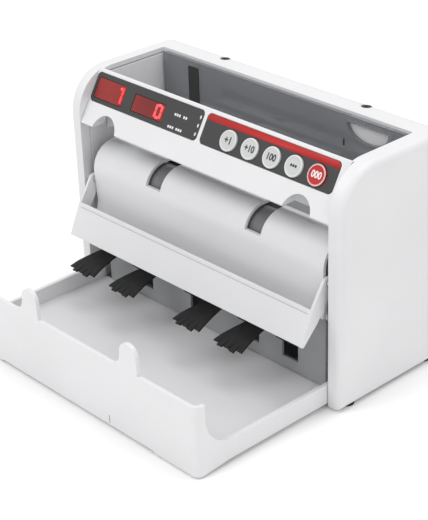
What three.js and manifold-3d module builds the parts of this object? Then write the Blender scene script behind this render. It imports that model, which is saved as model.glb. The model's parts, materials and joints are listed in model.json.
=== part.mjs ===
// Desktop banknote counter with a pull-out tray: an assembly of separate, named pieces.
// Millimetres, +Z up, front towards -Y. Machine coordinates: x = 0 on the middle plane,
// y = 0 at the front of the cheeks, z = 0 on the table. The exported group moves the
// origin to the middle of the footprint.
import * as THREE from "three";
import { mergeVertices } from "three/addons/utils/BufferGeometryUtils.js";
import Module from "manifold-3d";

const wasm = await Module();
wasm.setup();

// ---- driving dimensions -------------------------------------------------
const WIDTH = 196;
const DEPTH = 77;
const HEIGHT = 124.5;
const BOTTOM = 1; // underside of the housing: the feet lift it this far
const WALL = 2.5;
const EDGE_RADIUS = 4;
const BROW_RADIUS = 23; // big curve from the cheeks' front to the top
const CHEEK_WIDTH = 8.5;
const CHEEK_DEPTH = 6;
const INNER_HALF = WIDTH / 2 - CHEEK_WIDTH;
const GAP = 0.3; // between pieces that touch

const HEADER_BASE = 97.5; // height of the header's lower edge
const HEADER_LEAN = 30.5; // degrees back from vertical
const HEADER_TOP_Y = 15.6;
const BEZEL_WALL = 2.3;
const LIP_BACK = 9;
const SCOOP = { xs: [-71, 68.5], z: 95.8, radius: 9.25 };
const PANEL = { low: 13.5, high: 29.1, radius: 2.6, thickness: 1, pocket: 1.3 };
const DISPLAY_SPAN = [-88.7, -6.6];
const KEYPAD_SPAN = [-3.9, 84.5];
const WINDOW_SPANS = [[-86.7, -64.8], [-57, -33.5]];
const WINDOW_SLOPE = [[15.7, 26.5], [16, 24.8]];
const BUTTON = { first: 14.6, pitch: 14.65, count: 5, slope: 19.6, radius: 5.35, proud: 0.9, deep: 2.6 };
const BUTTON_NAMES = ["button_plus_1", "button_plus_10", "button_plus_100", "button_function", "button_reset"];

const HOPPER = { halfWidth: 88, front: 16.9, back: 59.4, wall: 1.5 };
const SUPPORT = { halfWidth: 86, front: 57, thickness: 2, bottom: 70, top: 123 };
const FINGER_HOLE = { x: 61.5, z: 119.6, radius: 13.5, depth: 8.6 };

const DRUM = { y: 17, z: 71, radius: 11.3 };
const ROLLER_X = 36.5;
const ROLLER_WIDTH = 10.4;
const SEPARATOR = { y: DRUM.y + 18.1, z: DRUM.z, radius: 6.3 };
const PICKUP = { y: 42, z: 85.5, radius: 7 };
const IMPELLER = { y: 17, z: 27, radius: 15.5, hub: 4, width: 9, xs: [-51, -10, 30, 57.2] };
const MOTOR = { y: 50, z: 28, radius: 11, x: [40, 76] };
const GEAR_MODULE = 1;
const DRIVE_TEETH = 20;
const SEPARATOR_TEETH = 16;

const COVER = { half: 84, front: 2.6, top: 85.3, radius: 14, bottom: 45.7, wall: 1.8, back: 24 };
const COVER_PIVOT = { y: 8.8, z: 48.2, radius: 1.5 };
const FLAP_PIVOT = { y: 4, z: 65.5, radius: 1.5 };
const FLAP = { half: 86.3, ear: 1.6, foot: [-14.6, 38.4], head: [-7, 55.2], wall: 1.6 };

const TRAY = { half: 89, front: -84, back: 8, wall: 2, floor: [2.5, 4.2], side: 13, top: 38, skirt: 0.9 };
const TAB = { xs: [-30.4, 43.6], half: 5.6, top: 52.7 };
const TONGUE = { xs: [-67, -35, 15, 45], root: 5.5, tip: 10.5, thickness: 1.2, tipY: -25 };

const CHASSIS = { inner: 81.5, outer: 83.5 };
const FRAME_SHIFT_Y = -(TRAY.front + DEPTH) / 2;

// ---- materials ----------------------------------------------------------
function finish(color, roughness, metalness = 0) {
  return new THREE.MeshStandardMaterial({ color, roughness, metalness });
}
const white = () => finish(0xe9e9ea, 0.5);
const darkGrey = () => finish(0x4a4a4b, 0.6);
const midGrey = () => finish(0x85878a, 0.6);
const rubber = () => finish(0x1b1b1c, 0.85);
const steel = () => finish(0xb9bcc0, 0.35, 0.9);
const gearPlastic = () => finish(0xd9d4c4, 0.55);

// ---- solids: three.js geometry in, manifold solid out -------------------
function solidOf(geometry) {
  const bare = geometry.clone();
  bare.deleteAttribute("normal");
  bare.deleteAttribute("uv");
  const merged = mergeVertices(bare, 1e-4);
  return new wasm.Manifold(
    new wasm.Mesh({
      numProp: 3,
      vertProperties: merged.attributes.position.array,
      triVerts: new Uint32Array(merged.index.array),
    }),
  );
}

function geometryOf(solid) {
  const mesh = solid.getMesh();
  const geometry = new THREE.BufferGeometry();
  geometry.setAttribute("position", new THREE.BufferAttribute(mesh.vertProperties, 3));
  geometry.setIndex(new THREE.BufferAttribute(mesh.triVerts, 1));
  geometry.computeVertexNormals();
  return geometry;
}

const join = (first, ...others) => others.reduce((sum, other) => sum.add(other), first);
const cut = (first, ...others) => others.reduce((rest, other) => rest.subtract(other), first);

function block([x0, x1], [y0, y1], [z0, z1]) {
  const geometry = new THREE.BoxGeometry(x1 - x0, y1 - y0, z1 - z0);
  return solidOf(geometry.translate((x0 + x1) / 2, (y0 + y1) / 2, (z0 + z1) / 2));
}

// Rods along X, Y and Z: a span on the axis, the two other coordinates, a radius.
function rodX([x0, x1], { y, z }, radius, segments = 20) {
  const geometry = new THREE.CylinderGeometry(radius, radius, x1 - x0, segments);
  return solidOf(geometry.rotateZ(Math.PI / 2).translate((x0 + x1) / 2, y, z));
}

function rodY([y0, y1], { x, z }, radius, segments = 20) {
  const geometry = new THREE.CylinderGeometry(radius, radius, y1 - y0, segments);
  return solidOf(geometry.translate(x, (y0 + y1) / 2, z));
}

function rodZ([z0, z1], { x, y }, radius, segments = 20) {
  const geometry = new THREE.CylinderGeometry(radius, radius, z1 - z0, segments);
  return solidOf(geometry.rotateX(Math.PI / 2).translate(x, y, (z0 + z1) / 2));
}

// A closed outline from corners [u, v, radius]; a corner with a radius becomes an arc.
function rounded(corners) {
  const shape = new THREE.Shape();
  const count = corners.length;
  corners.forEach(([u, v, radius = 0], i) => {
    const here = new THREE.Vector2(u, v);
    const [pu, pv] = corners[(i + count - 1) % count];
    const [nu, nv] = corners[(i + 1) % count];
    const back = new THREE.Vector2(pu - u, pv - v).normalize();
    const ahead = new THREE.Vector2(nu - u, nv - v).normalize();
    const half = Math.acos(THREE.MathUtils.clamp(back.dot(ahead), -1, 1)) / 2;
    const reach = radius / Math.tan(half);
    const start = here.clone().addScaledVector(back, reach);
    const end = here.clone().addScaledVector(ahead, reach);
    if (i === 0) shape.moveTo(start.x, start.y);
    else shape.lineTo(start.x, start.y);
    if (radius > 0) {
      const clockwise = back.cross(ahead) > 0;
      const middle = back.clone().add(ahead).normalize();
      const centre = here.clone().addScaledVector(middle, radius / Math.sin(half));
      const from = Math.atan2(start.y - centre.y, start.x - centre.x);
      const to = Math.atan2(end.y - centre.y, end.x - centre.x);
      shape.absarc(centre.x, centre.y, radius, from, to, clockwise);
    }
  });
  return shape;
}

function extruded(shape, length, curveSegments, options = {}) {
  return new THREE.ExtrudeGeometry(shape, {
    depth: length,
    steps: 1,
    curveSegments,
    bevelEnabled: false,
    ...options,
  });
}

// An outline in (y, z) swept along X, in (x, z) along Y, and in (x, y) along Z.
function slabX(shape, [x0, x1], curveSegments = 5) {
  const turn = new THREE.Matrix4().set(0, 0, 1, x0, 1, 0, 0, 0, 0, 1, 0, 0, 0, 0, 0, 1);
  return solidOf(extruded(shape, x1 - x0, curveSegments).applyMatrix4(turn));
}

function slabY(shape, [y0, y1], curveSegments = 5) {
  const geometry = extruded(shape, y1 - y0, curveSegments);
  return solidOf(geometry.rotateX(Math.PI / 2).translate(0, y1, 0));
}

function slabZ(shape, [z0, z1], curveSegments = 5) {
  return solidOf(extruded(shape, z1 - z0, curveSegments).translate(0, 0, z0));
}

function rectangle([u0, u1], [v0, v1], radius) {
  return rounded([[u0, v0, radius], [u1, v0, radius], [u1, v1, radius], [u0, v1, radius]]);
}

const grown = ([low, high], by) => [low - by, high + by];
const mirrored = ([low, high], side) => (side > 0 ? [low, high] : [-high, -low]);

const machine = new THREE.Group();
machine.position.y = FRAME_SHIFT_Y;

function addMesh(name, solid, material, parent = machine) {
  const mesh = new THREE.Mesh(geometryOf(solid), material);
  mesh.name = name;
  parent.add(mesh);
  return mesh;
}

// ---- housing ------------------------------------------------------------
function outerHull() {
  const [r, inset] = [EDGE_RADIUS, EDGE_RADIUS];
  const outline = rounded([
    [inset, BOTTOM + inset, 0],
    [DEPTH - inset, BOTTOM + inset, 0],
    [DEPTH - inset, HEIGHT - inset, 5],
    [inset, HEIGHT - inset, BROW_RADIUS - inset],
  ]);
  const geometry = extruded(outline, WIDTH - 2 * r, 7, {
    bevelEnabled: true,
    bevelThickness: r,
    bevelSize: r,
    bevelSegments: 3,
  });
  const turn = new THREE.Matrix4().set(0, 0, 1, r - WIDTH / 2, 1, 0, 0, 0, 0, 1, 0, 0, 0, 0, 0, 1);
  return solidOf(geometry.applyMatrix4(turn));
}

const RIM_SCREWS = [{ x: -50, y: 69.3 }, { x: 50, y: 69.3 }];
const RIM_SCREW = { head: 2.6, shank: 1.1, top: 124.1, under: 122.9 };

function addHousing() {
  const roof = HEIGHT - WALL;
  const across = [-WIDTH / 2 + WALL, WIDTH / 2 - WALL];
  const browFoot = HEIGHT - BROW_RADIUS;
  const lower = block(across, [CHEEK_DEPTH, DEPTH - WALL], [-5, browFoot]);
  const upper = block(across, [BROW_RADIUS, DEPTH - WALL], [browFoot - 1, roof]);
  const between = block([-INNER_HALF, INNER_HALF], [CHEEK_DEPTH, BROW_RADIUS + 1], [browFoot - 1, roof]);
  const front = block([-INNER_HALF, INNER_HALF], [-5, HOPPER.front + 0.1], [-5, HEIGHT + 5]);
  const mouth = slabZ(
    rectangle([-HOPPER.halfWidth, HOPPER.halfWidth], [HOPPER.front - 3, HOPPER.back], 1.5),
    [roof - 5, HEIGHT + 5],
  );
  const rear = block([-91.5, 91.5], [DEPTH - WALL - 1, DEPTH + 5], [-5, 113]);
  let shell = cut(outerHull(), lower, upper, between, front, mouth, rear);
  for (const at of RIM_SCREWS) {
    shell = cut(shell, rodZ([122.6, HEIGHT + 1], at, RIM_SCREW.head + GAP), rodZ([roof - 1, HEIGHT], at, 1.4));
  }
  for (const side of [-1, 1]) {
    const stud = mirrored([FLAP.half - FLAP.ear - 0.2, INNER_HALF + 1], side);
    shell = join(shell, rodX(stud, FLAP_PIVOT, FLAP_PIVOT.radius, 16));
  }
  addMesh("housing_shell", shell, white());

  RIM_SCREWS.forEach((at, i) => {
    const head = rodZ([RIM_SCREW.under, RIM_SCREW.top], at, RIM_SCREW.head, 20);
    const slot = block([at.x - 2.8, at.x + 2.8], [at.y - 0.35, at.y + 0.35], [123.5, 125]);
    const shank = rodZ([113, RIM_SCREW.under + 0.1], at, RIM_SCREW.shank, 12);
    addMesh("rim_screw_" + ["left", "right"][i], join(cut(head, slot), shank), steel());
  });
}

const INLET = { x: -66, z: 22, radius: 5.2 };
const SWITCH = { x: -44, z: 22, half: 5.2, height: 4 };

function addRearCover() {
  let cover = slabY(rectangle([-91.2, 91.2], [1.4, 112.6], 1.5), [74.8, 76.8], 3);
  for (let i = 0; i < 9; i += 1) {
    const z = 60 + 4.6 * i;
    cover = cut(cover, slabY(rectangle([10, 70], [z, z + 2], 0.6), [70, 80], 1));
  }
  cover = cut(cover, rodY([70, 80], INLET, INLET.radius + GAP));
  const { x, z, half, height } = SWITCH;
  cover = cut(cover, block(grown([x, x], half + 0.5), [70, 80], grown([z, z], height + 0.5)));
  addMesh("rear_cover", cover, white());

  const socket = cut(rodY([66, 77], INLET, INLET.radius), rodY([69, 80], INLET, 3.4, 20));
  addMesh("dc_inlet", socket, darkGrey());

  const rocker = slabX(rounded([[70, z - 3.8], [76.6, z - 3.8, 0.8], [75.9, z], [76.6, z + 3.8, 0.8], [70, z + 3.8]]),
    grown([x, x], half - 0.2));
  addMesh("power_switch", rocker, darkGrey());
}

function addBase() {
  const plate = join(
    block([-INNER_HALF + GAP, INNER_HALF - GAP], [0.8, CHEEK_DEPTH + 1], [1.2, 2.2]),
    block([-95.2, 95.2], [CHEEK_DEPTH + GAP, 74.2], [1.2, 2.2]),
  );
  addMesh("base_plate", plate, steel());
  for (const [place, x, y] of [
    ["front_left", -92.5, 10], ["front_right", 92.5, 10], ["rear_left", -92.5, 68], ["rear_right", 92.5, 68],
  ]) {
    addMesh("foot_" + place, rodZ([0, 0.9], { x, y }, 3.8, 20), rubber());
  }
}

function addSideLiners() {
  for (const [name, side] of [["left", -1], ["right", 1]]) {
    const span = mirrored([INNER_HALF, INNER_HALF + 1.5], side);
    const lower = block(span, [CHEEK_DEPTH + GAP, 73.5], [2.5, HEIGHT - BROW_RADIUS - GAP]);
    const upper = block(span, [BROW_RADIUS + GAP, 73.5], [100, 121.6]);
    addMesh("side_liner_" + name, join(lower, upper), white());
  }
}

// ---- header: a sloped bezel with a display and a keypad ------------------
const header = new THREE.Group();
header.position.set(0, 0, HEADER_BASE);
header.rotation.x = THREE.MathUtils.degToRad(90 - HEADER_LEAN);
machine.add(header);

// A solid drawn on the slope (x, s up the slope, n outwards), in machine coordinates.
function onSlope(geometry) {
  header.updateMatrix();
  return solidOf(geometry.applyMatrix4(header.matrix));
}

function slopeSlab(shape, [n0, n1]) {
  return extruded(shape, n1 - n0, 4).translate(0, 0, n0);
}

const buttonX = (i) => BUTTON.first + BUTTON.pitch * i;

function slopeRod(x, s, radius, [n0, n1], segments = 20) {
  const geometry = new THREE.CylinderGeometry(radius, radius, n1 - n0, segments);
  return geometry.rotateX(Math.PI / 2).translate(x, s, (n0 + n1) / 2);
}

function addBezel() {
  const lean = Math.tan(THREE.MathUtils.degToRad(HEADER_LEAN));
  const inset = BEZEL_WALL / Math.cos(THREE.MathUtils.degToRad(HEADER_LEAN));
  const top = HEIGHT - 0.4;
  const back = HOPPER.front - 0.2;
  const innerZ = (y) => HEADER_BASE + (y - inset) / lean;
  const profile = rounded([
    [0, HEADER_BASE, 0.6],
    [LIP_BACK, HEADER_BASE],
    [LIP_BACK, innerZ(LIP_BACK)],
    [back, innerZ(back)],
    [back, top],
    [HEADER_TOP_Y, top, 0.4],
  ]);
  let bezel = slabX(profile, [-INNER_HALF + GAP, INNER_HALF - GAP]);
  for (const x of SCOOP.xs) {
    bezel = cut(bezel, rodY([-5, 20], { x, z: SCOOP.z }, SCOOP.radius, 40));
  }
  for (const span of [DISPLAY_SPAN, KEYPAD_SPAN]) {
    const pocket = rectangle(grown(span, GAP), grown([PANEL.low, PANEL.high], GAP), PANEL.radius);
    bezel = cut(bezel, onSlope(slopeSlab(pocket, [-PANEL.pocket, 3])));
  }
  WINDOW_SPANS.forEach((span, i) => {
    const hole = rectangle(grown(span, GAP), grown(WINDOW_SLOPE[i], GAP), 0.8);
    bezel = cut(bezel, onSlope(slopeSlab(hole, [-6, 3])));
  });
  for (let i = 0; i < BUTTON.count; i += 1) {
    bezel = cut(bezel, onSlope(slopeRod(buttonX(i), BUTTON.slope, BUTTON.radius + 0.4, [-6, 3])));
  }
  addMesh("header_bezel", bezel, white());
}

function addDisplay() {
  let panel = solidOf(slopeSlab(rectangle(DISPLAY_SPAN, [PANEL.low, PANEL.high], PANEL.radius), [-PANEL.thickness, 0]));
  WINDOW_SPANS.forEach((span, i) => {
    const hole = rectangle(grown(span, GAP), grown(WINDOW_SLOPE[i], GAP), 0.8);
    panel = cut(panel, solidOf(slopeSlab(hole, [-3, 1])));
    const pane = solidOf(slopeSlab(rectangle(span, WINDOW_SLOPE[i], 0.6), [-1.9, -0.1]));
    addMesh("display_window_" + ["left", "right"][i], pane, finish(0x8e2f2d, 0.3), header);
  });
  addMesh("display_panel", panel, darkGrey(), header);

  let board = solidOf(slopeSlab(rectangle([-87.5, 83], [PANEL.low, 25.2], 0.5), [-5, -4]));
  WINDOW_SPANS.forEach(([low, high]) => {
    const digit = slopeSlab(rectangle([low + 1, high - 1], [16.4, 24.4], 0.3), [-4.1, -2.3]);
    board = join(board, solidOf(digit));
  });
  addMesh("display_board", board, finish(0x2c5a3c, 0.6), header);
}

function addKeypad() {
  const outline = rectangle(KEYPAD_SPAN, [PANEL.low, PANEL.high], PANEL.radius);
  let panel = solidOf(slopeSlab(outline, [-PANEL.thickness, 0]));
  for (let i = 0; i < BUTTON.count; i += 1) {
    panel = cut(panel, solidOf(slopeRod(buttonX(i), BUTTON.slope, BUTTON.radius + 0.4, [-3, 1])));
  }
  addMesh("keypad_panel", panel, darkGrey(), header);
  BUTTON_NAMES.forEach((name, i) => {
    const cap = slopeRod(buttonX(i), BUTTON.slope, BUTTON.radius, [-BUTTON.deep, BUTTON.proud], 32);
    const last = i === BUTTON.count - 1;
    addMesh(name, solidOf(cap), last ? finish(0xb3332d, 0.4) : finish(0xd7d7d6, 0.5), header);
  });
}

// ---- hopper -------------------------------------------------------------
const FLOOR_RISE = Math.tan(THREE.MathUtils.degToRad(25.4));
const floorTop = (y) => PICKUP.z + 6.64 + FLOOR_RISE * (y - PICKUP.y);

function addHopper() {
  const outer = 88.8;
  const inner = outer - HOPPER.wall;
  const top = 121.4;
  const span = [-inner - 0.2, inner + 0.2];
  const [front, back] = [HOPPER.front + 0.6, HOPPER.back + 0.2];
  const [floorFront, floorBack] = [31.5, 56.3];
  const frontWall = block(span, [front, front + HOPPER.wall], [92, top]);
  const backWall = block(span, [back, back + HOPPER.wall], [66, top]);
  const slope = (from) => rounded([
    [from, floorTop(from) - 1.6], [floorBack, floorTop(floorBack) - 1.6],
    [floorBack, floorTop(floorBack)], [from, floorTop(from)],
  ]);
  const floor = join(slabX(slope(floorFront), [-86.4, 86.4]), slabX(slope(50.8), span));
  const end = rounded([
    [front, 90], [36, 90], [50, floorTop(50) + 0.4], [50, 66, 3], [back + HOPPER.wall, 66],
    [back + HOPPER.wall, top], [front, top],
  ]);
  let chute = join(floor, slabX(end, [-outer, -inner]), slabX(end, [inner, outer]), frontWall, backWall);
  for (const side of [-1, 1]) {
    const window = mirrored([ROLLER_X - 6.6, ROLLER_X + 6.6], side);
    chute = cut(chute, block(window, [33.5, 50.5], [80, 100]));
  }
  addMesh("hopper_chute", chute, white());

  const sheet = slabY(
    rectangle([-SUPPORT.halfWidth, SUPPORT.halfWidth], [SUPPORT.bottom, SUPPORT.top], 1.5),
    [SUPPORT.front, SUPPORT.front + SUPPORT.thickness],
  );
  const hole = new THREE.Shape();
  hole.absellipse(FINGER_HOLE.x, FINGER_HOLE.z, FINGER_HOLE.radius, FINGER_HOLE.depth, Math.PI, 2 * Math.PI);
  addMesh("bill_support", cut(sheet, slabY(hole, [50, 70], 12)), finish(0x6d6f72, 0.15));
}

// ---- chassis ------------------------------------------------------------
const BOSSES = [{ y: 66, z: 20 }, { y: 66, z: 56 }, { y: 30, z: 20 }];

function addChassis() {
  const outline = rounded([
    [9.2, 5], [72, 5, 2], [72, 62, 4], [55.5, 62, 2], [55.5, 90, 4], [42, 89.2], [28, 82.2],
    [6, 82.2, 11], [6, 43.5, 2], [9.2, 41],
  ]);
  for (const [name, side] of [["left", -1], ["right", 1]]) {
    let plate = slabX(outline, mirrored([CHASSIS.inner, CHASSIS.outer], side));
    for (const boss of BOSSES) {
      plate = join(plate, rodX(mirrored([CHASSIS.outer - 0.5, INNER_HALF - GAP], side), boss, 3, 16));
    }
    const through = [-90, 90];
    for (const [axle, radius] of [[DRUM, 2.8], [SEPARATOR, 2.3], [PICKUP, 2.3], [IMPELLER, 2.3], [COVER_PIVOT, 1.9]]) {
      plate = cut(plate, rodX(through, axle, radius, 24));
    }
    if (side > 0) plate = cut(plate, rodX(through, MOTOR, 2.6, 20));
    addMesh("chassis_plate_" + name, plate, steel());
  }

  let guide = join(
    block([-CHASSIS.inner + GAP, CHASSIS.inner - GAP], [7.2, 8.7], [4.8, 43.6]),
    block([-CHASSIS.inner + GAP, CHASSIS.inner - GAP], [8.5, 11], [42.6, 43.6]),
  );
  for (const x of IMPELLER.xs) guide = cut(guide, block(grown([x, x], 5.5), [0, 20], [11, 42]));
  addMesh("front_guide_plate", guide, midGrey());

  const board = join(
    block([-36, 34], [66, 67.4], [12, 60]),
    block([-32, -18], [62.5, 66.1], [16, 30]),
    block([-8, 12], [63.5, 66.1], [28, 48]),
    block([16, 30], [61, 66.1], [16, 26]),
    rodY([56, 66.1], { x: -25, z: 48 }, 4, 16),
  );
  addMesh("main_board", board, finish(0x2c5a3c, 0.6));
  const body = join(rodX(MOTOR.x, MOTOR, MOTOR.radius, 32), rodX([MOTOR.x[1] - 0.5, 79], MOTOR, 4, 20));
  addMesh("motor", body, steel());
}

// ---- turning parts: each stands in a group on its own axle ----------------
function axle(centre) {
  const group = new THREE.Group();
  group.position.set(0, centre.y, centre.z);
  machine.add(group);
  return group;
}

const AXIS = { y: 0, z: 0 };

function ring([x0, x1], radius, bore, segments = 32) {
  return cut(rodX([x0, x1], AXIS, radius, segments), rodX([x0 - 1, x1 + 1], AXIS, bore, 14));
}

// Straight-sided spur teeth; the first tooth points towards +Y, turned by phase teeth.
function gear(teeth, [x0, x1], bore, phase) {
  const root = GEAR_MODULE * (teeth / 2 - 1.2);
  const tip = GEAR_MODULE * (teeth / 2 + 0.85);
  const shape = new THREE.Shape();
  for (let i = 0; i < teeth; i += 1) {
    for (const [radius, part] of [[root, -0.32], [tip, -0.13], [tip, 0.13], [root, 0.32]]) {
      const angle = (2 * Math.PI * (i + phase + part)) / teeth;
      const [y, z] = [radius * Math.cos(angle), radius * Math.sin(angle)];
      if (i === 0 && part === -0.32) shape.moveTo(y, z);
      else shape.lineTo(y, z);
    }
  }
  return cut(slabX(shape, [x0, x1]), rodX([x0 - 1, x1 + 1], AXIS, bore, 14));
}

function pulley([x0, x1], radius, bore) {
  const flange = 0.5;
  return cut(
    join(
      rodX([x0, x1], AXIS, radius),
      rodX([x0, x0 + flange], AXIS, radius + 1),
      rodX([x1 - flange, x1], AXIS, radius + 1),
    ),
    rodX([x0 - 1, x1 + 1], AXIS, bore, 14),
  );
}

const MOTOR_RUN = [84.1, 86.5];
const PICKUP_RUN = [86.8, 89.1];
const IMPELLER_RUN = [-86.5, -84.1];
const RADII = { driveMotor: 7.5, drivePickup: 5, driveImpeller: 6, motor: 3.75, pickup: 5, impeller: 5 };

function addDriveShaft() {
  const group = axle(DRUM);
  const shaft = 2.5;
  addMesh("drive_shaft", rodX([-86.9, 89], AXIS, shaft, 24), steel(), group);
  for (const [name, side] of [["left", -1], ["right", 1]]) {
    const span = grown([side * ROLLER_X, side * ROLLER_X], ROLLER_WIDTH / 2);
    addMesh("drive_roller_" + name, ring(span, DRUM.radius, shaft + GAP, 48), rubber(), group);
  }
  addMesh("drive_gear", gear(DRIVE_TEETH, [-80.8, -76.4], shaft + GAP, 0), gearPlastic(), group);
  const double = join(
    pulley(MOTOR_RUN, RADII.driveMotor, shaft + GAP),
    pulley([MOTOR_RUN[1] - 0.2, PICKUP_RUN[1]], RADII.drivePickup, shaft + GAP),
  );
  addMesh("drive_pulley", double, gearPlastic(), group);
  addMesh("transfer_pulley", pulley(IMPELLER_RUN, RADII.driveImpeller, shaft + GAP), gearPlastic(), group);
}

function addSeparator() {
  const group = axle(SEPARATOR);
  addMesh("separator_shaft", rodX([-84, 84], AXIS, 2, 20), steel(), group);
  const wheels = [-1, 1].map((side) => grown([side * ROLLER_X, side * ROLLER_X], ROLLER_WIDTH / 2));
  const sleeve = ring([-ROLLER_X, ROLLER_X], 3.4, 2 + GAP, 20);
  const roller = join(sleeve, ...wheels.map((span) => ring(span, SEPARATOR.radius, 2 + GAP, 24)));
  addMesh("separator_roller", roller, rubber(), group);
  addMesh("separator_gear", gear(SEPARATOR_TEETH, [-80.8, -76.4], 2 + GAP, 0.5), gearPlastic(), group);
}

function addPickup() {
  const group = axle(PICKUP);
  addMesh("pickup_shaft", rodX([-84, 89], AXIS, 2, 20), steel(), group);
  const wheels = [-1, 1].map((side) => grown([side * ROLLER_X, side * ROLLER_X], ROLLER_WIDTH / 2));
  const sleeve = ring([-ROLLER_X, ROLLER_X], 3.4, 2 + GAP, 20);
  const roller = join(sleeve, ...wheels.map((span) => ring(span, PICKUP.radius, 2 + GAP, 24)));
  addMesh("pickup_roller", roller, rubber(), group);
  addMesh("pickup_pulley", pulley(PICKUP_RUN, RADII.pickup, 2 + GAP), gearPlastic(), group);
}

// One impeller: a hub with three swept blades.
function impellerWheel(x) {
  const { hub, radius, width } = IMPELLER;
  const span = grown([x, x], width / 2);
  const blade = new THREE.Shape();
  blade.moveTo(hub - 1.2, -1);
  blade.quadraticCurveTo(radius * 0.65, -1.6, radius - 0.4, -4.2);
  blade.lineTo(radius - 1, -2.6);
  blade.quadraticCurveTo(radius * 0.6, 0.6, hub - 1.2, 1.2);
  let wheel = rodX(span, AXIS, hub, 24);
  for (let i = 0; i < 3; i += 1) {
    const turn = new THREE.Matrix4().makeRotationX(THREE.MathUtils.degToRad(205 + 120 * i));
    const lay = new THREE.Matrix4().set(0, 0, 1, span[0], 1, 0, 0, 0, 0, 1, 0, 0, 0, 0, 0, 1);
    wheel = join(wheel, solidOf(extruded(blade, width, 5).applyMatrix4(turn.multiply(lay))));
  }
  return cut(wheel, rodX(grown(span, 1), AXIS, 2 + GAP, 20));
}

function addImpellers() {
  const group = axle(IMPELLER);
  addMesh("impeller_shaft", rodX([-86.9, 84], AXIS, 2, 20), steel(), group);
  IMPELLER.xs.forEach((x, i) => addMesh("impeller_" + (i + 1), impellerWheel(x), rubber(), group));
  addMesh("impeller_pulley", pulley(IMPELLER_RUN, RADII.impeller, 2 + GAP), gearPlastic(), group);
}

function addMotorPulley() {
  const spindle = rodX([79.4, MOTOR_RUN[1] + 0.4], AXIS, 1.2, 16);
  addMesh("motor_pulley", join(spindle, pulley(MOTOR_RUN, RADII.motor, 1)), gearPlastic(), axle(MOTOR));
}

// A belt's outline round two wheels: two arcs and the straight runs between them.
function loop(target, a, ra, b, rb) {
  const apart = Math.hypot(b.y - a.y, b.z - a.z);
  const along = Math.atan2(b.z - a.z, b.y - a.y);
  const wrap = Math.acos((ra - rb) / apart);
  target.absarc(a.y, a.z, ra, along + wrap, along - wrap + 2 * Math.PI, false);
  target.absarc(b.y, b.z, rb, along - wrap, along + wrap, false);
  return target;
}

function belt([x0, x1], a, ra, b, rb) {
  const thickness = 0.6;
  const shape = loop(new THREE.Shape(), a, ra + GAP + thickness, b, rb + GAP + thickness);
  shape.holes.push(loop(new THREE.Path(), a, ra + GAP, b, rb + GAP));
  return slabX(shape, [x0 + 0.8, x1 - 0.8], 6);
}

function addBelts() {
  const { driveMotor, drivePickup, driveImpeller, motor, pickup, impeller } = RADII;
  addMesh("motor_belt", belt(MOTOR_RUN, DRUM, driveMotor, MOTOR, motor), rubber());
  addMesh("pickup_belt", belt(PICKUP_RUN, DRUM, drivePickup, PICKUP, pickup), rubber());
  addMesh("impeller_belt", belt(IMPELLER_RUN, DRUM, driveImpeller, IMPELLER, impeller), rubber());
}

// ---- front: curved cover, press flap, tongues, tray -----------------------
function addCurvedCover() {
  const { half, front, top, radius, bottom, wall, back } = COVER;
  const step = 1.2;
  const waist = 69.3;
  const profile = rounded([
    [front - 0.4, bottom, 0.4], [front + step + wall - 1.2, bottom, 0.4], [front + step + wall, 53],
    [front + wall, waist], [front + wall, top - wall, radius - wall], [back, top - wall],
    [back, top], [front, top, radius], [front, waist], [front + step, 53],
  ]);
  let cover = slabX(profile, [-half, half], 7);
  for (const side of [-1, 1]) {
    cover = cut(cover, block(mirrored([ROLLER_X - 5.5, ROLLER_X + 5.5], side), [-5, 21], [75, 90]));
    const lug = block(mirrored([77.6, 81], side), [5, COVER_PIVOT.y + 1.6], [46.2, 50.2]);
    const pin = rodX(mirrored([80.5, half], side), COVER_PIVOT, COVER_PIVOT.radius, 16);
    cover = join(cover, lug, pin);
  }
  addMesh("curved_cover", cover, white());
}

function addPressFlap() {
  const { half, ear, foot, head, wall } = FLAP;
  const run = new THREE.Vector2(head[0] - foot[0], head[1] - foot[1]).normalize();
  const [dy, dz] = [run.y * wall, -run.x * wall];
  const strip = rounded([
    [foot[0], foot[1], 0.5], [foot[0] + dy, foot[1] + dz, 0.5], [head[0] + dy, head[1] + dz, 0.5], [head[0], head[1], 0.5],
  ]);
  const arm = rounded([
    foot, [foot[0] + dy, foot[1] + dz, 0.4], [-3.5, 47.5, 4], [7.1, 62.6, 3], [7.1, 68.6, 3], [1.6, 68.6, 3], head,
  ]);
  let flap = slabX(strip, [-half, half], 3);
  for (const side of [-1, 1]) {
    const plate = slabX(arm, mirrored([half - ear, half], side));
    flap = join(flap, plate);
  }
  addMesh("press_flap", cut(flap, rodX([-90, 90], FLAP_PIVOT, FLAP_PIVOT.radius + 0.4, 20)), white());
}

// Soft fan-shaped tongues that lead the notes down into the tray.
function addTongues() {
  const { xs, root, tip, thickness, tipY } = TONGUE;
  const rootY = 6.9;
  const side = new THREE.Shape();
  const half = thickness / 2;
  side.moveTo(rootY, 30.4 - half);
  side.quadraticCurveTo(-10, 30.4 - half, tipY, 25.6 - half);
  side.lineTo(tipY, 25.6 + half);
  side.quadraticCurveTo(-10, 30.4 + half, rootY, 30.4 + half);
  const slits = 5;
  xs.forEach((x, i) => {
    const fan = rounded([
      [x - root, rootY], [x - root, -2, 4], [x - tip, tipY + 1], [x, tipY], [x + tip, tipY + 1], [x + root, -2, 4], [x + root, rootY],
    ].reverse());
    let tongue = slabZ(fan, [20, 40]).intersect(slabX(side, grown([x, x], tip + 1), 6));
    for (let k = 1; k < slits; k += 1) {
      const at = x + tip * (2 * k / slits - 1) * 0.92;
      tongue = cut(tongue, block(grown([at, at], 0.3), [tipY - 1, tipY + 5], [20, 40]));
    }
    addMesh("presser_tongue_" + (i + 1), tongue, rubber());
  });
}

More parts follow.
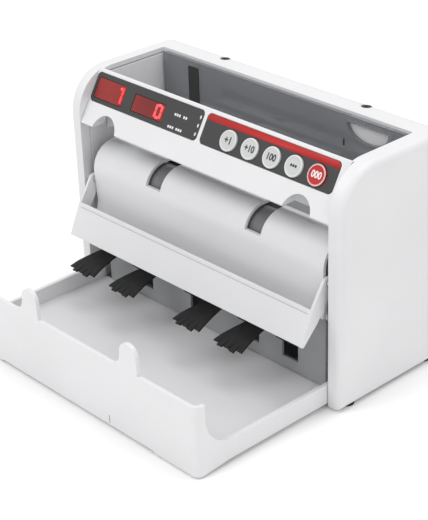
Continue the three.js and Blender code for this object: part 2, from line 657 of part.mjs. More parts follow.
function addTray() {
  const { half, front, back, wall, floor, side, top, skirt } = TRAY;
  const outer = slabZ(
    rounded([[-half, front, 4], [half, front, 4], [half, back, 1], [-half, back, 1]]), [skirt, top]);
  const inner = slabZ(
    rounded([[-half + wall, front + wall, 2.5], [half - wall, front + wall, 2.5], [half - wall, back + 9], [-half + wall, back + 9]]),
    [floor[1], top + 5]);
  const arcRadius = 17;
  const crown = TAB.half - 0.1;
  const profile = rounded([
    [front - 1, skirt], [front + 2, skirt], [-65, floor[0]], [back + 1, floor[0]], [back + 1, side],
    [-78.3, side, arcRadius], [-78.3, top + 1], [front - 1, top + 1],
  ]);
  let tray = cut(outer, inner).intersect(slabX(profile, [-half - 1, half + 1], 8));
  const relief = rounded([[-60, -1], [60, -1], [60, 0.5], [58.5, 1.7], [-58.5, 1.7], [-60, 0.5]]);
  tray = cut(tray, slabY(relief, [front - 1, -60]));
  for (const x of TAB.xs) {
    const tab = rounded([
      [x - TAB.half - 8, top - 4], [x + TAB.half + 3, top - 4], [x + TAB.half + 0.6, top, 1],
      [x + TAB.half, TAB.top, crown], [x - TAB.half, TAB.top, crown], [x - TAB.half, top, 8], [x - TAB.half - 8, top],
    ]);
    tray = join(tray, slabY(tab, [front, front + wall], 6));
  }
  addMesh("tray", tray, white());
}

addHousing();
addRearCover();
addBase();
addSideLiners();
addBezel();
addDisplay();
addKeypad();
addHopper();
addChassis();
addDriveShaft();
addSeparator();
addPickup();
addImpellers();
addMotorPulley();
addBelts();
addCurvedCover();
addPressFlap();
addTongues();
addTray();

const model = new THREE.Group();
model.add(machine);

export default model;
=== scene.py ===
import json
import math
from itertools import product

import bmesh
import bpy
from mathutils import Matrix, Vector


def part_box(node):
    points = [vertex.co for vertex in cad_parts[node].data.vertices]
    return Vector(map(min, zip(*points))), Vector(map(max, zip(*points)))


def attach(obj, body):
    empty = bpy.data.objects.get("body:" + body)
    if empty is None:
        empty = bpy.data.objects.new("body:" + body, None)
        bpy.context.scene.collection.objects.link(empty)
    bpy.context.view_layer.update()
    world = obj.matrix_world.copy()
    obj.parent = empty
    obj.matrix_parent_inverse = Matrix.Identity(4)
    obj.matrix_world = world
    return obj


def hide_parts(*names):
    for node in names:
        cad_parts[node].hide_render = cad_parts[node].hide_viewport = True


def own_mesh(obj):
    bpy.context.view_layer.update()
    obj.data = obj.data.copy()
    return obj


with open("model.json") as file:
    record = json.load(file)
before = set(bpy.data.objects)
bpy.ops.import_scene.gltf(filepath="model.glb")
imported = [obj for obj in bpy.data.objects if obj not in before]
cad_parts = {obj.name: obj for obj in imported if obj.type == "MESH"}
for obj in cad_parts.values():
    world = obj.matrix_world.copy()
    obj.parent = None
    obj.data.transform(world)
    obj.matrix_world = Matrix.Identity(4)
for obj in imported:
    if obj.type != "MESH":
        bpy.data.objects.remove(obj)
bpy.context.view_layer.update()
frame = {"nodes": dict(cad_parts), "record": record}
NODES = frame["nodes"]
MM = 0.001

# ---- driving values, in millimetres and, for the camera's angles, degrees ----
CAMERA_AT = (514.1, -450.8, 406.0)
CAMERA_AZIMUTH = 47.87
CAMERA_ELEVATION = 27.57
CAMERA_ROLL = -2.06
CAMERA_LENS = 106.2

HEADER_LEAN = math.radians(30.5)
PANEL_LOW, PANEL_HIGH, PANEL_CORNER = 13.5, 29.1, 2.6
STRIPE_LOW = 25.7
BUTTON_SLOPE = 19.6
BUTTON_PROUD = 0.9
KEY_RADIUS, KEY_BOTTOM = 5.35, -2.6
FIGURE_STRETCH = 0.9
LEGENDS = {
    "button_plus_1": "+1", "button_plus_10": "+10", "button_plus_100": "100",
    "button_function": "•••", "button_reset": "000",
}

PANEL_THICKNESS = 1
SLOPE_AXES = (
    Vector((1, 0, 0)),
    Vector((0, math.sin(HEADER_LEAN), math.cos(HEADER_LEAN))),
    Vector((0, -math.cos(HEADER_LEAN), math.sin(HEADER_LEAN))),
)


def header_foot():
    """The header's lower front edge, found from the keypad panel's lowest and foremost points."""
    low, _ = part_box("keypad_panel")
    _, up, out = SLOPE_AXES
    rise = up.z * PANEL_LOW - out.z * PANEL_THICKNESS
    return Vector((0, low.y - up.y * PANEL_LOW * MM, low.z - rise * MM))


HEADER_FOOT = header_foot()


def slope_point(x, s, n):
    """A point on the header: x across, s up the slope, n outwards, all in millimetres."""
    across, up, out = SLOPE_AXES
    return HEADER_FOOT + (across * x + up * s + out * n) * MM


def slope_matrix(x, s, n):
    """The header's own axes, with their origin at slope_point(x, s, n)."""
    across, up, out = SLOPE_AXES
    turn = Matrix((across, up, out)).transposed().to_4x4()
    return Matrix.Translation(slope_point(x, s, n)) @ turn


# ---- procedural materials -------------------------------------------------
NOISE_LOW, NOISE_HIGH = 0.3, 0.7  # the span that most of a noise's values lie in


class Shader:
    """A node material on one Principled shader, with short calls for its usual detail."""

    def __init__(self, name, color, roughness, metallic=0.0):
        self.material = bpy.data.materials.new(name)
        self.material.use_nodes = True
        self.tree = self.material.node_tree
        self.shader = self.tree.nodes["Principled BSDF"]
        self.shader.inputs["Base Color"].default_value = (*color, 1)
        self.shader.inputs["Roughness"].default_value = roughness
        self.shader.inputs["Metallic"].default_value = metallic
        self.color = color
        self.roughness = roughness
        self.place = self.tree.nodes.new("ShaderNodeTexCoord").outputs["Object"]

    def node(self, kind, **values):
        made = self.tree.nodes.new(kind)
        for key, value in values.items():
            setattr(made, key, value)
        return made

    def link(self, source, target):
        self.tree.links.new(source, target)

    def noise(self, scale, detail, stretch=(1, 1, 1)):
        made = self.node("ShaderNodeTexNoise")
        made.inputs["Scale"].default_value = scale
        made.inputs["Detail"].default_value = detail
        mapping = self.node("ShaderNodeMapping")
        mapping.inputs["Scale"].default_value = stretch
        self.link(self.place, mapping.inputs["Vector"])
        self.link(mapping.outputs["Vector"], made.inputs["Vector"])
        return made.outputs["Fac"]

    def remap(self, source, low, high):
        """Spreads a noise's usual span over low to high."""
        made = self.node("ShaderNodeMapRange")
        made.inputs["From Min"].default_value = NOISE_LOW
        made.inputs["From Max"].default_value = NOISE_HIGH
        made.inputs["To Min"].default_value = low
        made.inputs["To Max"].default_value = high
        self.link(source, made.inputs["Value"])
        return made.outputs["Result"]

    def ramp(self, source, stops):
        made = self.node("ShaderNodeValToRGB")
        ramp = made.color_ramp
        while len(ramp.elements) < len(stops):
            ramp.elements.new(0.5)
        for element, (at, color) in zip(ramp.elements, stops):
            element.position = at
            element.color = (*color, 1)
        self.link(source, made.inputs["Fac"])
        return made.outputs["Color"]

    def mottle(self, amount, scale=22.0):
        """Slow drift of the colour over the piece."""
        dark = tuple(c * (1 - amount) for c in self.color)
        light = tuple(min(1.0, c * (1 + amount)) for c in self.color)
        color = self.ramp(self.noise(scale, 4.0), [(NOISE_LOW, dark), (NOISE_HIGH, light)])
        self.link(color, self.shader.inputs["Base Color"])
        return self

    def uneven_gloss(self, spread, scale=70.0, stretch=(1, 1, 1)):
        """Lets the roughness wander by the spread either way."""
        low, high = self.roughness - spread, self.roughness + spread
        value = self.remap(self.noise(scale, 4.0, stretch), max(low, 0.02), high)
        self.link(value, self.shader.inputs["Roughness"])
        return self

    def grain(self, scale, strength, distance=0.04 * MM, stretch=(1, 1, 1)):
        """A fine bumpy surface."""
        bump = self.node("ShaderNodeBump")
        bump.inputs["Strength"].default_value = strength
        bump.inputs["Distance"].default_value = distance
        self.link(self.noise(scale, 2.0, stretch), bump.inputs["Height"])
        self.link(bump.outputs["Normal"], self.shader.inputs["Normal"])
        return self

    def set(self, **values):
        for key, value in values.items():
            self.shader.inputs[key.replace("_", " ")].default_value = value
        return self


def moulded(name, color, roughness=0.42, strength=0.35):
    shader = Shader(name, color, roughness).mottle(0.02).uneven_gloss(0.06)
    return shader.grain(3200, strength).material


def sheet_metal(name, color, roughness=0.34):
    shader = Shader(name, color, roughness, 1.0).mottle(0.06, 60)
    return shader.uneven_gloss(0.1, 300, (1, 1, 14)).grain(1500, 0.2, stretch=(1, 1, 18)).material


def turned_bar(name, color):
    shader = Shader(name, color, 0.24, 1.0).mottle(0.05, 90)
    return shader.uneven_gloss(0.08, 500, (12, 1, 1)).grain(2600, 0.15, stretch=(16, 1, 1)).material


def rubber(name, color, roughness=0.72):
    shader = Shader(name, color, roughness).mottle(0.18, 120).set(Specular_IOR_Level=0.3)
    return shader.uneven_gloss(0.1, 240).grain(2400, 0.6, 0.06 * MM).material


def smoked_acrylic():
    shader = Shader("smoked_acrylic", (0.46, 0.47, 0.49), 0.07).mottle(0.05, 14).uneven_gloss(0.03, 40)
    return shader.set(Transmission_Weight=0.72, IOR=1.49, Coat_Weight=0.3).material


def red_window():
    shader = Shader("red_window", (0.22, 0.022, 0.02), 0.16)
    deep, bright = (0.17, 0.018, 0.016), (0.29, 0.026, 0.022)
    color = shader.ramp(shader.noise(38, 2.0), [(NOISE_LOW, deep), (NOISE_HIGH, bright)])
    shader.link(color, shader.shader.inputs["Base Color"])
    shader.uneven_gloss(0.05, 50)
    return shader.set(Coat_Weight=0.15, Coat_Roughness=0.12, Specular_IOR_Level=0.3).material


def lit_segment(name, color, power):
    shader = Shader(name, color, 0.3).mottle(0.1, 900)
    return shader.set(Emission_Color=(*color, 1), Emission_Strength=power).material


def overlay(name, color, roughness=0.38):
    shader = Shader(name, color, roughness).mottle(0.05, 40).uneven_gloss(0.07, 110)
    return shader.grain(5200, 0.25).set(Specular_IOR_Level=0.35).material


def circuit_board():
    shader = Shader("circuit_board", (0.02, 0.10, 0.05), 0.3)
    cells = shader.node("ShaderNodeTexVoronoi", feature="DISTANCE_TO_EDGE")
    cells.inputs["Scale"].default_value = 260
    shader.link(shader.place, cells.inputs["Vector"])
    track, mask = (0.05, 0.2, 0.09), (0.012, 0.07, 0.035)
    color = shader.ramp(cells.outputs["Distance"], [(0.02, track), (0.09, mask)])
    shader.link(color, shader.shader.inputs["Base Color"])
    return shader.uneven_gloss(0.08, 90).material


WHITE = (0.68, 0.68, 0.69)
MATERIALS = {
    "white_plastic": moulded("white_abs", WHITE),
    # grey ABS; the same grey also serves as painted shade on the sheet behind the header and on the flap's
    # lower line
    "grey_plastic": moulded("grey_abs_and_shade", (0.33, 0.335, 0.345), 0.45),
    "smoked_plastic": smoked_acrylic(),
    "dark_panel": overlay("overlay_film", (0.040, 0.040, 0.041), 0.5),
    "red_window": red_window(),
    "key_plastic": overlay("key_cap", (0.52, 0.53, 0.53), 0.42),
    "red_key": overlay("red_key_cap", (0.46, 0.013, 0.012), 0.45),
    "black_plastic": moulded("black_abs", (0.02, 0.02, 0.021), 0.4),
    "circuit_board": circuit_board(),
    "steel_sheet": sheet_metal("zinc_sheet", (0.58, 0.59, 0.6)),
    "steel_bar": turned_bar("ground_steel", (0.62, 0.63, 0.64)),
    "screw_steel": turned_bar("black_screw", (0.05, 0.05, 0.052)),
    "roller_rubber": rubber("roller_rubber", (0.17, 0.17, 0.175), 0.6),
    "tongue_rubber": rubber("soft_rubber", (0.008, 0.008, 0.0085), 0.55),
    "belt_rubber": rubber("belt_rubber", (0.018, 0.018, 0.018)),
    "foot_rubber": rubber("foot_rubber", (0.03, 0.03, 0.03)),
    "gear_plastic": moulded("acetal", (0.66, 0.63, 0.54), 0.35),
}
SLOT_OF = {row["node"]: row["material_slot"] for row in frame["record"]["subparts"]}

# ---- CAD nodes: real edges and their materials ------------------------------
EDGE_WIDTHS = {
    "housing_shell": 0.6, "tray": 0.5, "press_flap": 0.4, "curved_cover": 0.35, "header_bezel": 0.4,
    "rear_cover": 0.5, "hopper_chute": 0.5, "bill_support": 0.35, "power_switch": 0.4, "motor": 0.6,
}
FINE_EDGE = 0.15
WELD_WITHIN = 0.002 * MM
FLAT_WITHIN, EDGE_OVER = math.radians(0.8), math.radians(33)


def finish_cad_node(name, node):
    """Merges the facets, rounds the sharp edges and shades the curves smoothly, by modifiers alone.
    Smoked nodes are left as they are, flat shaded, which keeps dark wedges off their faces."""
    node.data.materials.clear()
    node.data.materials.append(MATERIALS[SLOT_OF[name]])
    if SLOT_OF[name] == "smoked_plastic":
        return
    node.modifiers.new("weld", "WELD").merge_threshold = WELD_WITHIN
    planar = node.modifiers.new("facets", "DECIMATE")
    planar.decimate_type = "DISSOLVE"
    planar.angle_limit = FLAT_WITHIN
    bevel = node.modifiers.new("edges", "BEVEL")
    bevel.width = EDGE_WIDTHS.get(name, FINE_EDGE) * MM
    bevel.segments = 3
    bevel.limit_method = "ANGLE"
    bevel.angle_limit = EDGE_OVER
    bevel.use_clamp_overlap = True
    bevel.harden_normals = False
    node.data.polygons.foreach_set("use_smooth", [True] * len(node.data.polygons))
    node.modifiers.new("normals", "WEIGHTED_NORMAL").keep_sharp = False


for node_name, cad_node in NODES.items():
    finish_cad_node(node_name, cad_node)


# ---- small building tools ---------------------------------------------------
def piece(name, mesh, slot_name, body, material=None):
    """A smooth-shaded object from a mesh, riding on a body, in its slot's material unless told otherwise."""
    made = bpy.data.objects.new(name, mesh)
    bpy.context.scene.collection.objects.link(made)
    mesh.materials.append(material or MATERIALS[slot_name])
    mesh.polygons.foreach_set("use_smooth", [True] * len(mesh.polygons))
    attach(made, body)
    return made


def soften(made, width, segments=3, angle=30):
    """Rounds the edges sharper than the angle, which is in degrees."""
    bevel = made.modifiers.new("edges", "BEVEL")
    bevel.width = width * MM
    bevel.segments = segments
    bevel.limit_method = "ANGLE"
    bevel.angle_limit = math.radians(angle)
    made.modifiers.new("normals", "WEIGHTED_NORMAL")
    return made


def rounded_outline(x0, x1, y0, y1, radii, steps=8):
    """Corner points of a rectangle, counter-clockwise from low x, low y, each corner with its radius."""
    points = []
    corners = [(x0, y0, 180), (x1, y0, 270), (x1, y1, 0), (x0, y1, 90)]
    for (x, y, start), radius in zip(corners, radii):
        cx = x + (radius if x == x0 else -radius)
        cy = y + (radius if y == y0 else -radius)
        for k in range(steps + 1 if radius else 1):
            angle = math.radians(start + 90 * k / steps)
            points.append((cx + radius * math.cos(angle), cy + radius * math.sin(angle)))
    return points


def slope_plate(name, outline, low, high, slot_name, material):
    """A thin plate on the header: an outline in (x, s), from height low to high, all in millimetres."""
    mesh = bmesh.new()
    rings = [[mesh.verts.new(slope_point(x, s, n)) for x, s in outline] for n in (low, high)]
    mesh.faces.new(list(reversed(rings[0])))
    mesh.faces.new(rings[1])
    count = len(outline)
    for i in range(count):
        j = (i + 1) % count
        mesh.faces.new((rings[0][i], rings[0][j], rings[1][j], rings[1][i]))
    data = bpy.data.meshes.new(name)
    mesh.to_mesh(data)
    mesh.free()
    return piece(name, data, slot_name, "housing", material)


def lathe(name, profile, matrix, slot_name, body, material=None, steps=64):
    """A solid of revolution about local Z from (radius, height) points in millimetres."""
    mesh = bmesh.new()
    rings = []
    for radius, height in profile:
        if radius == 0:
            rings.append([mesh.verts.new(matrix @ Vector((0, 0, height * MM)))])
            continue
        ring = []
        for k in range(steps):
            angle = 2 * math.pi * k / steps
            x, y = radius * math.cos(angle) * MM, radius * math.sin(angle) * MM
            ring.append(mesh.verts.new(matrix @ Vector((x, y, height * MM))))
        rings.append(ring)
    for a, b in zip(rings, rings[1:]):
        for k in range(steps):
            j = (k + 1) % steps
            corners = [a[k % len(a)], a[j % len(a)], b[j % len(b)], b[k % len(b)]]
            mesh.faces.new(list(dict.fromkeys(corners)))
    bmesh.ops.recalc_face_normals(mesh, faces=mesh.faces)
    data = bpy.data.meshes.new(name)
    mesh.to_mesh(data)
    mesh.free()
    return piece(name, data, slot_name, body, material)


FIGURE_HEIGHT, FIGURE_BOLDNESS = 0.02, 0.14


def numerals(name, figures, size, matrix, slot_name, body, material):
    """Raised figures, converted to a mesh, centred on the matrix's origin."""
    curve = bpy.data.curves.new(name + "_outline", "FONT")
    curve.body = figures
    curve.size = size * MM
    curve.extrude = FIGURE_HEIGHT * MM
    curve.offset = FIGURE_BOLDNESS * MM
    curve.align_x = "CENTER"
    curve.align_y = "CENTER"
    helper = bpy.data.objects.new(name + "_outline", curve)
    bpy.context.scene.collection.objects.link(helper)
    bpy.context.view_layer.update()
    data = bpy.data.meshes.new_from_object(helper)
    bpy.data.objects.remove(helper)
    data.name = name
    data.transform(matrix @ Matrix.Diagonal((FIGURE_STRETCH, 1, 1, 1)))
    data.materials.clear()
    made = piece(name, data, slot_name, body, material)
    made.data.polygons.foreach_set("use_smooth", [False] * len(made.data.polygons))
    return made


# ---- header: stripe, digits, marks, keys -------------------------------------
# white print; also the painted highlight ring on the keycaps' rims
INK_AND_HIGHLIGHT_WHITE = overlay("print_and_highlight_white", (0.75, 0.75, 0.75), 0.5)
INK_BLACK = overlay("print_black", (0.03, 0.03, 0.032), 0.5)
STRIPE_RED = overlay("print_red", (0.42, 0.016, 0.014), 0.5)
LED_RED = lit_segment("led_segment", (1.0, 0.03, 0.035), 1.0)
LED_EDGE = lit_segment("led_edge", (1.0, 0.06, 0.07), 1.2)
PRINT_LOW, PRINT_HIGH = 0.005, 0.03  # how far print stands off its panel
SEGMENT_LOW, SEGMENT_HIGH = -0.12, 0.02
SEGMENT_ROUNDING = 0.35  # corner radius over the bar's shorter side
DIGIT_BAR, DIGIT_GAP = 1.35, 0.15
ONE_X, ONE_LOW, ONE_HIGH = -66.6, 17.0, 25.2
ONE_FLAG = 1.5
ZERO_XS, ZERO_SLOPES = (-40.2, -35.0), (16.7, 24.3)
ZERO_CORNER = 0.5
TICK_ROWS = [
    (22.3, [-26.0, -24.4, -22.8, -19.6, -18.0]),
    (15.5, [-28.0, -26.4, -24.8, -22.0, -20.4, -18.8]),
]  # each row's height up the slope, and where its ticks start
TICK_WIDTH, TICK_HALF, TICK_CORNER = 1.2, 0.65, 0.2
LAMP_XS, LAMP_SLOPES = (-8.6, -7.7), (25.4, 21.0, 16.6)
LAMP_HALF, LAMP_CORNER, LAMP_HIGH = 0.9, 0.4, 0.1


def add_stripe():
    low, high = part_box("keypad_panel")
    corners = (0, 0, PANEL_CORNER, PANEL_CORNER)
    outline = rounded_outline(low.x / MM, high.x / MM, STRIPE_LOW, PANEL_HIGH, corners)
    slope_plate("keypad_stripe", outline, PRINT_LOW, PRINT_HIGH, "dark_panel", STRIPE_RED)


def segment_bar(name, x0, x1, s0, s1, material):
    """One lit bar of a digit, between two x and two slope positions."""
    radius = SEGMENT_ROUNDING * min(x1 - x0, s1 - s0)
    outline = rounded_outline(x0, x1, s0, s1, (radius,) * 4, 4)
    slope_plate(name, outline, SEGMENT_LOW, SEGMENT_HIGH, "red_window", material)


def add_digits():
    """A lit 1 in the left window and a lit 0 in the right one."""
    left, right = ONE_X - DIGIT_BAR / 2, ONE_X + DIGIT_BAR / 2
    middle = (ONE_LOW + ONE_HIGH) / 2
    segment_bar("digit_left_lower", left, right, ONE_LOW, middle - DIGIT_GAP, LED_RED)
    segment_bar("digit_left_upper", left, right, middle + DIGIT_GAP, ONE_HIGH, LED_RED)
    flag_x0, flag_x1 = left - ONE_FLAG, left - DIGIT_GAP
    segment_bar("digit_left_flag", flag_x0, flag_x1, ONE_HIGH - DIGIT_BAR, ONE_HIGH, LED_EDGE)
    (x0, x1), (s0, s1) = ZERO_XS, ZERO_SLOPES
    half = (s0 + s1) / 2
    for side, x in (("left", x0), ("right", x1 - DIGIT_BAR)):
        low, high = s0 + ZERO_CORNER, s1 - ZERO_CORNER
        segment_bar("digit_right_low_" + side, x, x + DIGIT_BAR, low, half - DIGIT_GAP, LED_EDGE)
        segment_bar("digit_right_high_" + side, x, x + DIGIT_BAR, half + DIGIT_GAP, high, LED_EDGE)
    for end, s in (("bottom", s0), ("top", s1 - DIGIT_BAR)):
        segment_bar("digit_right_" + end, x0 + DIGIT_BAR, x1 - DIGIT_BAR, s, s + DIGIT_BAR, LED_EDGE)


def add_panel_marks():
    """Short printed ticks in place of the lamps' captions, and three small lamps."""
    for r, (s, starts) in enumerate(TICK_ROWS):
        for i, x in enumerate(starts):
            corners = (TICK_CORNER,) * 4
            outline = rounded_outline(x, x + TICK_WIDTH, s - TICK_HALF, s + TICK_HALF, corners, 3)
            name = f"caption_tick_{r + 1}_{i + 1}"
            slope_plate(name, outline, PRINT_LOW, PRINT_HIGH, "dark_panel", INK_AND_HIGHLIGHT_WHITE)
    for i, s in enumerate(LAMP_SLOPES):
        outline = rounded_outline(*LAMP_XS, s - LAMP_HALF, s + LAMP_HALF, (LAMP_CORNER,) * 4, 5)
        slope_plate(f"mode_lamp_{i + 1}", outline, PRINT_LOW, LAMP_HIGH, "dark_panel", INK_AND_HIGHLIGHT_WHITE)


def cap_profile():
    """(radius, height) points of a keycap: straight sides, a rounded rim and a shallow dish."""
    r, h = KEY_RADIUS, BUTTON_PROUD
    side = [(0, KEY_BOTTOM), (r, KEY_BOTTOM), (r, h - 0.35), (r - 0.12, h - 0.1), (r - 0.4, h)]
    dish = [(r - 0.75, h - 0.02), (r - 1.0, h - 0.16), (r - 1.4, h - 0.2), (2.2, h - 0.17), (0, h - 0.15)]
    return side + dish


def rim_highlight_profile():
    """(radius, height) points of the pale ring round a keycap's top, a painted highlight along its rounded
    rim, closed on itself.
    """
    r, h = KEY_RADIUS, BUTTON_PROUD
    top = [(r - 0.72, h - 0.03), (r - 0.68, h + 0.03), (r - 0.1, h - 0.07)]
    return top + [(r - 0.06, h - 0.16), (r - 0.72, h - 0.06)]


def add_keys():
    for name, legend in LEGENDS.items():
        low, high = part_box(name)
        x = (low.x + high.x) / 2 / MM
        red = name == "button_reset"
        slot_name = "red_key" if red else "key_plastic"
        top = slope_matrix(x, BUTTON_SLOPE, 0)
        cap = lathe(name + "_cap", cap_profile(), top, slot_name, name)
        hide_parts(name)
        # painted highlight: a pale ring laid over the cap's rounded rim
        lathe(name + "_rim_highlight", rim_highlight_profile(), top, slot_name, name, INK_AND_HIGHLIGHT_WHITE)
        ink = INK_AND_HIGHLIGHT_WHITE if red else INK_BLACK
        size = 4.6 if len(legend) > 2 else 5.2
        face = slope_matrix(x, BUTTON_SLOPE, BUTTON_PROUD - 0.14)
        numerals(name + "_figures", legend, size, face, slot_name, name, ink)


# ---- soft tongues --------------------------------------------------------------
TONGUE_TINES = 5
TONGUE_TINE_LENGTHS = [0.95, 1.0, 0.98, 1.0, 0.94]
TONGUE_ROOT_HALF, TONGUE_TIP_HALF = 5.4, 10.3
TONGUE_ROWS, TONGUE_COLUMNS = 26, 4
TONGUE_INSET = 0.7  # from the node's top and bottom to the fan's middle surface
TONGUE_THICKNESS = 0.9
FLARE_START, FLARE_POWER = 0.22, 1.25
DROOP_POWER = 2.1
UNEVEN_FROM = 0.6  # how far down the fan the tines start to differ in length
SPLIT_START, SPLIT_GAP, SPLIT_DROP = 0.8, 0.35, 0.5
TINE_RIDGE = 0.04


def tongue_grid(centre, low, high):
    """Points of one fan: rows from the root to the tip, a few columns for each tine."""
    root_y, tip_y = high.y / MM, low.y / MM
    tip_z, root_z = low.z / MM + TONGUE_INSET, high.z / MM - TONGUE_INSET
    points = {}
    for t, c, r in product(range(TONGUE_TINES), range(TONGUE_COLUMNS + 1), range(TONGUE_ROWS + 1)):
        u = (t + c / TONGUE_COLUMNS) / TONGUE_TINES * 2 - 1
        v = r / TONGUE_ROWS * (TONGUE_TINE_LENGTHS[t] if r > TONGUE_ROWS * UNEVEN_FROM else 1)
        flare = max(0.0, (v - FLARE_START) / (1 - FLARE_START))
        half = TONGUE_ROOT_HALF + (TONGUE_TIP_HALF - TONGUE_ROOT_HALF) * flare ** FLARE_POWER
        within = c / TONGUE_COLUMNS * 2 - 1
        split = max(0.0, (v - SPLIT_START) / (1 - SPLIT_START))
        ridge = TINE_RIDGE * (1 - within * within) * min(1.0, v * 4)
        x = centre + u * half - within * split * SPLIT_GAP
        y = root_y + (tip_y - root_y) * v
        z = root_z + (tip_z - root_z) * v ** DROOP_POWER
        points[t, c, r] = Vector((x, y, z + ridge - SPLIT_DROP * split * u ** 2)) * MM
    return points


def add_tongue(index):
    node = f"presser_tongue_{index}"
    low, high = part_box(node)
    mesh = bmesh.new()
    points = tongue_grid((low.x + high.x) / 2 / MM, low, high)
    verts = {key: mesh.verts.new(co) for key, co in points.items()}
    for t, c, r in product(range(TONGUE_TINES), range(TONGUE_COLUMNS), range(TONGUE_ROWS)):
        corners = (t, c, r), (t, c, r + 1), (t, c + 1, r + 1), (t, c + 1, r)
        mesh.faces.new([verts[key] for key in corners])
    bmesh.ops.remove_doubles(mesh, verts=mesh.verts, dist=0.01 * MM)
    bmesh.ops.recalc_face_normals(mesh, faces=mesh.faces)
    data = bpy.data.meshes.new(node + "_fan")
    mesh.to_mesh(data)
    mesh.free()
    fan = piece(node + "_fan", data, "tongue_rubber", "housing")
    thick = fan.modifiers.new("thickness", "SOLIDIFY")
    thick.thickness = TONGUE_THICKNESS * MM
    thick.offset = 0
    soften(fan, 0.2, 2, 40)
    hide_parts(node)
    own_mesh(fan)


# ---- hopper, cover and flap details ----------------------------------------------
def block_piece(name, low, high, slot_name, body, edge, material=None):
    """A rounded bar between two corners in metres."""
    mesh = bmesh.new()
    bmesh.ops.create_cube(mesh, size=1)
    size, centre = high - low, (high + low) / 2
    for vert in mesh.verts:
        vert.co = Vector((vert.co.x * size.x, vert.co.y * size.y, vert.co.z * size.z)) + centre
    data = bpy.data.meshes.new(name)
    mesh.to_mesh(data)
    mesh.free()
    return soften(piece(name, data, slot_name, body, material), edge)


SLEEVE_HALF, SLEEVE_BORE = 8.0, 3.4
SLEEVE_STEPS = 96
GROOVE_COUNT, GROOVE_PITCH, GROOVE_DEPTH = 7, 2, 0.18


def sleeve_profile(radius):
    """(radius, length) points of a roller sleeve: bevelled ends with shallow grooves between them."""
    end = [(radius - 0.7, 0.0), (radius - 0.2, 0.15), (radius, 0.5)]
    profile = [(SLEEVE_BORE, -SLEEVE_HALF)] + [(r, -SLEEVE_HALF + inward) for r, inward in end]
    floor = radius - GROOVE_DEPTH
    for k in range(1, GROOVE_COUNT + 1):
        x = -SLEEVE_HALF + GROOVE_PITCH * k
        profile += [(radius, x - 0.3), (floor, x - 0.1), (floor, x + 0.1), (radius, x + 0.3)]
    profile += [(r, SLEEVE_HALF - inward) for r, inward in reversed(end)]
    return profile + [(SLEEVE_BORE, SLEEVE_HALF), (SLEEVE_BORE, -SLEEVE_HALF)]


def add_roller_sleeves():
    """Grooved rubber sleeves on the drive shaft, wider than their nodes, behind the cover's slots."""
    turn = Matrix.Rotation(math.radians(90), 4, "Y")
    for side in ("left", "right"):
        low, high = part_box("drive_roller_" + side)
        place = Matrix.Translation((low + high) / 2) @ turn
        profile = sleeve_profile((high.z - low.z) / 2 / MM)
        sleeve = lathe("drive_sleeve_" + side, profile, place, "roller_rubber", "drive", steps=SLEEVE_STEPS)
        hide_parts("drive_roller_" + side)


FLAP_FOOT = 0.66  # height of the front face's foot over the flap's lowest point
FLAP_RUN = Vector((0, 7.6, 16.8)).normalized()
FLAP_OUT = Vector((0, -FLAP_RUN.z, FLAP_RUN.y))
RIB_INSET, RIB_SUNK = 2.2, -0.25


def flap_strip(name, along, wide, thick, material):
    """A thin rib across the flap's front face, at a distance up it, with its back sunk into the face."""
    low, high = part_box("press_flap")
    foot = Vector((0, low.y, low.z + FLAP_FOOT * MM))
    half = high.x / MM - RIB_INSET
    back, front = RIB_SUNK, RIB_SUNK + thick
    corners = [(along, back), (along + wide, back), (along + wide, front), (along, front)]
    mesh = bmesh.new()
    rings = []
    for x in (-half, half):
        points = [foot + (Vector((x, 0, 0)) + FLAP_RUN * a + FLAP_OUT * n) * MM for a, n in corners]
        rings.append([mesh.verts.new(point) for point in points])
    mesh.faces.new(rings[0])
    mesh.faces.new(list(reversed(rings[1])))
    for i in range(4):
        j = (i + 1) % 4
        mesh.faces.new((rings[0][j], rings[0][i], rings[1][i], rings[1][j]))
    bmesh.ops.recalc_face_normals(mesh, faces=mesh.faces)
    data = bpy.data.meshes.new(name)
    mesh.to_mesh(data)
    mesh.free()
    soften(piece(name, data, "white_plastic", "flap", material), 0.05, 2)


def add_flap_lines():
    flap_strip("flap_rib_upper", 16.6, 0.3, 0.4, MATERIALS["white_plastic"])
    # painted shade: the lower line's grey is the shade beneath the upper rib
    flap_strip("flap_shade_line", 15.9, 0.22, 0.33, MATERIALS["grey_plastic"])


# painted shade: a grey sheet behind the header, in place of the shaded inside
SHADE_SHEET_HALF, SHADE_SHEET_THICKNESS = 82, 1.0
SHADE_SHEET_LOW, SHADE_SHEET_HIGH = 2.0, 13  # above the cover's highest point


def add_header_shade_sheet():
    """A grey sheet that closes the space behind the header, above the cover; its grey is painted shade,
    standing in for the dark inside there.
    """
    chute_low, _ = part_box("hopper_chute")
    _, cover_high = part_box("curved_cover")
    front = chute_low.y + 0.2 * MM
    low = Vector((-SHADE_SHEET_HALF * MM, front, cover_high.z + SHADE_SHEET_LOW * MM))
    high = Vector((SHADE_SHEET_HALF * MM, front + SHADE_SHEET_THICKNESS * MM, cover_high.z + SHADE_SHEET_HIGH * MM))
    block_piece("header_shade_sheet", low, high, "grey_plastic", "housing", 0.3)


STRIP_XS, SUPPORT_SLOT_XS = (-66, -58), (45.9, 46.9)
STRIP_PROUD, SUPPORT_SLOT_PROUD = 0.35, 0.2
SUPPORT_SLOT_DROPS = (16.5, 13)  # below the support's top edge


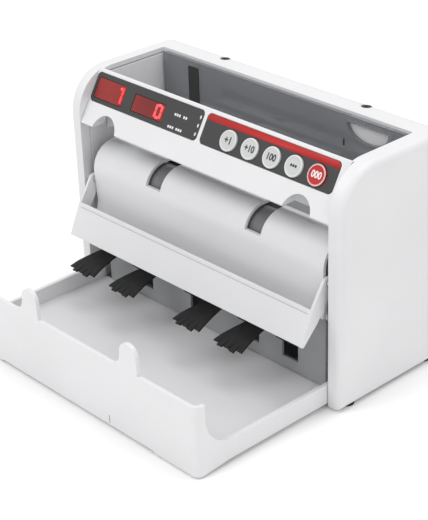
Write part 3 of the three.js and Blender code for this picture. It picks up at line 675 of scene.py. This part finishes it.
def add_support_details():
    """The darker guide strip and the small slot on the smoked note support."""
    low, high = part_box("bill_support")
    front, back = low.y - STRIP_PROUD * MM, low.y - 0.02 * MM
    strip_low = Vector((STRIP_XS[0] * MM, front, low.z + 2 * MM))
    strip_high = Vector((STRIP_XS[1] * MM, back, high.z - 3 * MM))
    block_piece("support_guide_strip", strip_low, strip_high, "black_plastic", "bill_support", 0.12)
    bottom, top = (high.z - drop * MM for drop in SUPPORT_SLOT_DROPS)
    slot_low = Vector((SUPPORT_SLOT_XS[0] * MM, low.y - SUPPORT_SLOT_PROUD * MM, bottom))
    slot_high = Vector((SUPPORT_SLOT_XS[1] * MM, back, top))
    block_piece("support_slot", slot_low, slot_high, "black_plastic", "bill_support", 0.05)


LINE_XS, LINE_RISES = (26.9, 27.3), (1.7, 6.2)
LINE_PROUD, LINE_DEPTH = 0.02, 0.3


def add_tray_slit():
    """The short parting line at the foot of the tray's front."""
    tray_low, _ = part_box("tray")
    low = Vector((LINE_XS[0] * MM, tray_low.y - LINE_PROUD * MM, tray_low.z + LINE_RISES[0] * MM))
    high = Vector((LINE_XS[1] * MM, tray_low.y + LINE_DEPTH * MM, tray_low.z + LINE_RISES[1] * MM))
    block_piece("tray_parting_line", low, high, "grey_plastic", "tray", 0.05, INK_BLACK)


# ---- run ---------------------------------------------------------------------------
add_stripe()
add_digits()
add_panel_marks()
add_keys()
for tongue in range(1, 5):
    add_tongue(tongue)
add_roller_sleeves()
add_flap_lines()
add_header_shade_sheet()
add_tray_slit()
add_support_details()


# ---- stage, light and camera, in metres ------------------------------------------------
FLOOR_HALF = 6
WORLD_STRENGTH = 0.8
LIGHTS_TOWARDS = Vector((0, 0, 0.06))
LIGHTS = [
    ("key", (-0.5, -0.9, 1.1), 0.9, 6),
    ("fill", (1.1, -0.5, 0.7), 1.0, 2.5),
    ("top", (0.1, 0.4, 1.2), 0.8, 5),
]  # name, place, width and watts
SENSOR_WIDTH = 36


def add_stage():
    mesh = bmesh.new()
    bmesh.ops.create_grid(mesh, x_segments=1, y_segments=1, size=FLOOR_HALF)
    data = bpy.data.meshes.new("floor")
    mesh.to_mesh(data)
    mesh.free()
    floor = bpy.data.objects.new("floor", data)
    bpy.context.scene.collection.objects.link(floor)
    shader = Shader("pale_floor", (0.93, 0.93, 0.93), 0.9).mottle(0.004, 3)
    data.materials.append(shader.material)


def area_light(name, at, size, power):
    light = bpy.data.lights.new(name, "AREA")
    light.shape = "DISK"
    light.size = size
    light.energy = power
    made = bpy.data.objects.new(name, light)
    bpy.context.scene.collection.objects.link(made)
    made.location = Vector(at)
    made.rotation_euler = (LIGHTS_TOWARDS - Vector(at)).to_track_quat("-Z", "Y").to_euler()


def add_lights():
    world = bpy.data.worlds.new("studio")
    bpy.context.scene.world = world
    world.use_nodes = True
    background = world.node_tree.nodes["Background"]
    background.inputs["Color"].default_value = (1, 1, 1, 1)
    background.inputs["Strength"].default_value = WORLD_STRENGTH
    for light in LIGHTS:
        area_light(*light)


def add_camera():
    data = bpy.data.cameras.new("camera")
    data.sensor_width = SENSOR_WIDTH
    data.lens = CAMERA_LENS
    data.clip_start, data.clip_end = 0.05, 20
    made = bpy.data.objects.new("camera", data)
    bpy.context.scene.collection.objects.link(made)
    a, e = math.radians(CAMERA_AZIMUTH), math.radians(CAMERA_ELEVATION)
    back = Vector((math.sin(a) * math.cos(e), -math.cos(a) * math.cos(e), math.sin(e)))
    turn = (-back).to_track_quat("-Z", "Y").to_matrix()
    turn = turn @ Matrix.Rotation(math.radians(CAMERA_ROLL), 3, "Z")
    made.matrix_world = Matrix.Translation(Vector(CAMERA_AT) * MM) @ turn.to_4x4()
    bpy.context.scene.camera = made


add_stage()
add_lights()
add_camera()
bpy.context.scene.view_settings.view_transform = "Standard"
bpy.context.view_layer.update()
